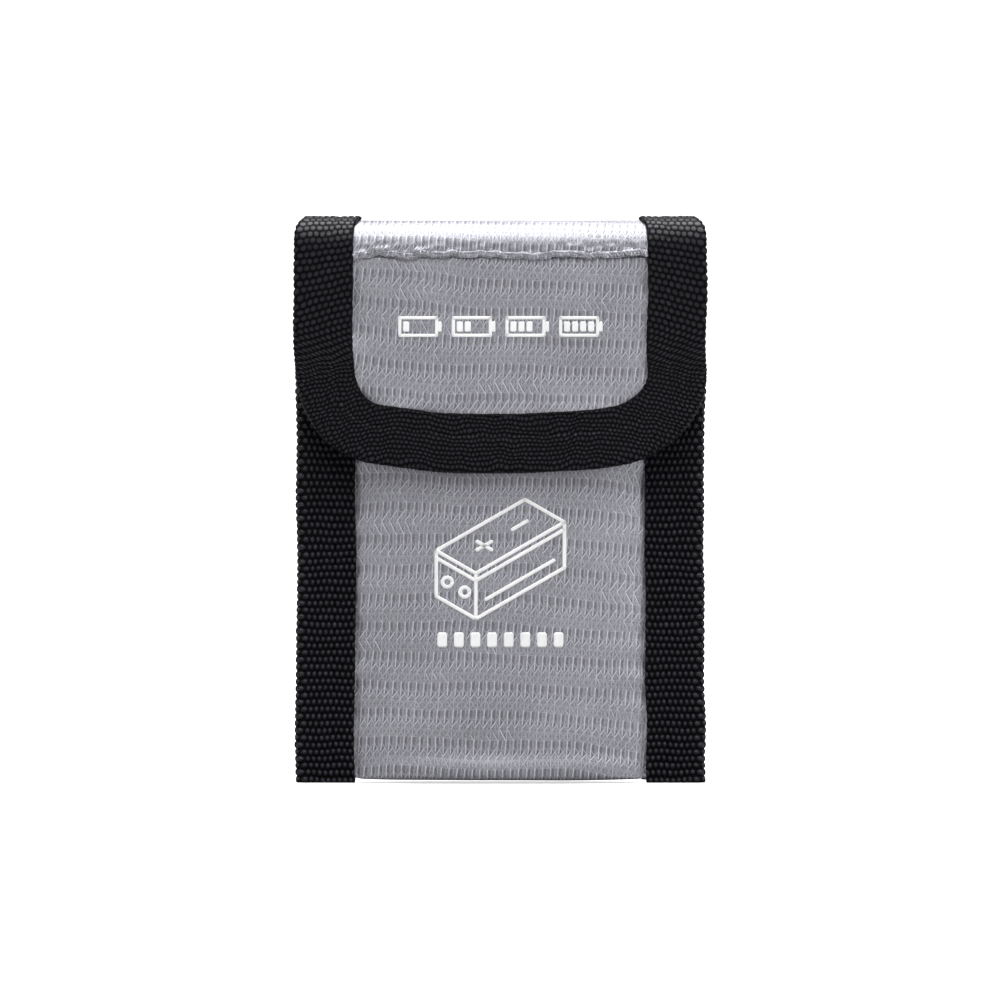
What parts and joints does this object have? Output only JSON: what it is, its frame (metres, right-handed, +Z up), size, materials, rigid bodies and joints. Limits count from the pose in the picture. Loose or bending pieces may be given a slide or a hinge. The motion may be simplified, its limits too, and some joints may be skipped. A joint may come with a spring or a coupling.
{
  "type": "battery safety pouch",
  "caption": "Small fold-over storage pouch of silver foil-faced cloth, edged with folded black tape, whose rounded flap closes in front with hook and loop.",
  "frame": {"origin": "centre of the bottom of the bounding box, on the surface that the pouch stands on", "axes": "+Z up towards the fold, -Y the front where the flap closes, +X to the right as seen from the front"},
  "size_m": [0.108, 0.0178, 0.1502],
  "materials": {
    "silver_cloth": "satin",
    "lining_cloth": "matte",
    "black_tape": "matte",
    "black_thread": "satin",
    "seam_thread": "satin",
    "loop_pile": "matte",
    "hook_plastic": "satin",
    "white_ink": "matte"
  },
  "bodies": {
    "pouch": {"outer_shell": "silver_cloth", "inner_lining": "lining_cloth", "right_side_binding": "black_tape", "left_side_binding": "black_tape", "right_binding_stitches": "black_thread", "left_binding_stitches": "black_thread", "mouth_hem": "lining_cloth", "mouth_hem_stitches": "seam_thread", "loop_strip": "loop_pile", "loop_stitches": "black_thread", "front_print": "white_ink"},
    "fold": {"fold_shell": "silver_cloth", "fold_lining": "lining_cloth", "fold_right_binding": "black_tape", "fold_left_binding": "black_tape", "fold_stitches": "black_thread"},
    "flap": {"seam_strip": "silver_cloth", "flap_panel": "silver_cloth", "flap_lining": "lining_cloth", "flap_binding": "black_tape", "flap_binding_stitches": "black_thread", "top_seam_stitches": "seam_thread", "hook_strip": "hook_plastic", "hook_stitches": "black_thread", "flap_print": "white_ink"}
  },
  "joints": [
    {"name": "rear_fold", "type": "hinge", "parent": "pouch", "child": "fold", "pos_m": [0, 0.00615, 0.14745], "axis": [-1, 0, 0], "range_deg": [0, 160]},
    {"name": "front_fold", "type": "hinge", "parent": "fold", "child": "flap", "pos_m": [0, -0.00615, 0.14745], "axis": [-1, 0, 0], "range_deg": [0, 160]}
  ],
  "couplings": [
    {"joint": "front_fold", "follows": "rear_fold", "ratio": 1}
  ]
}
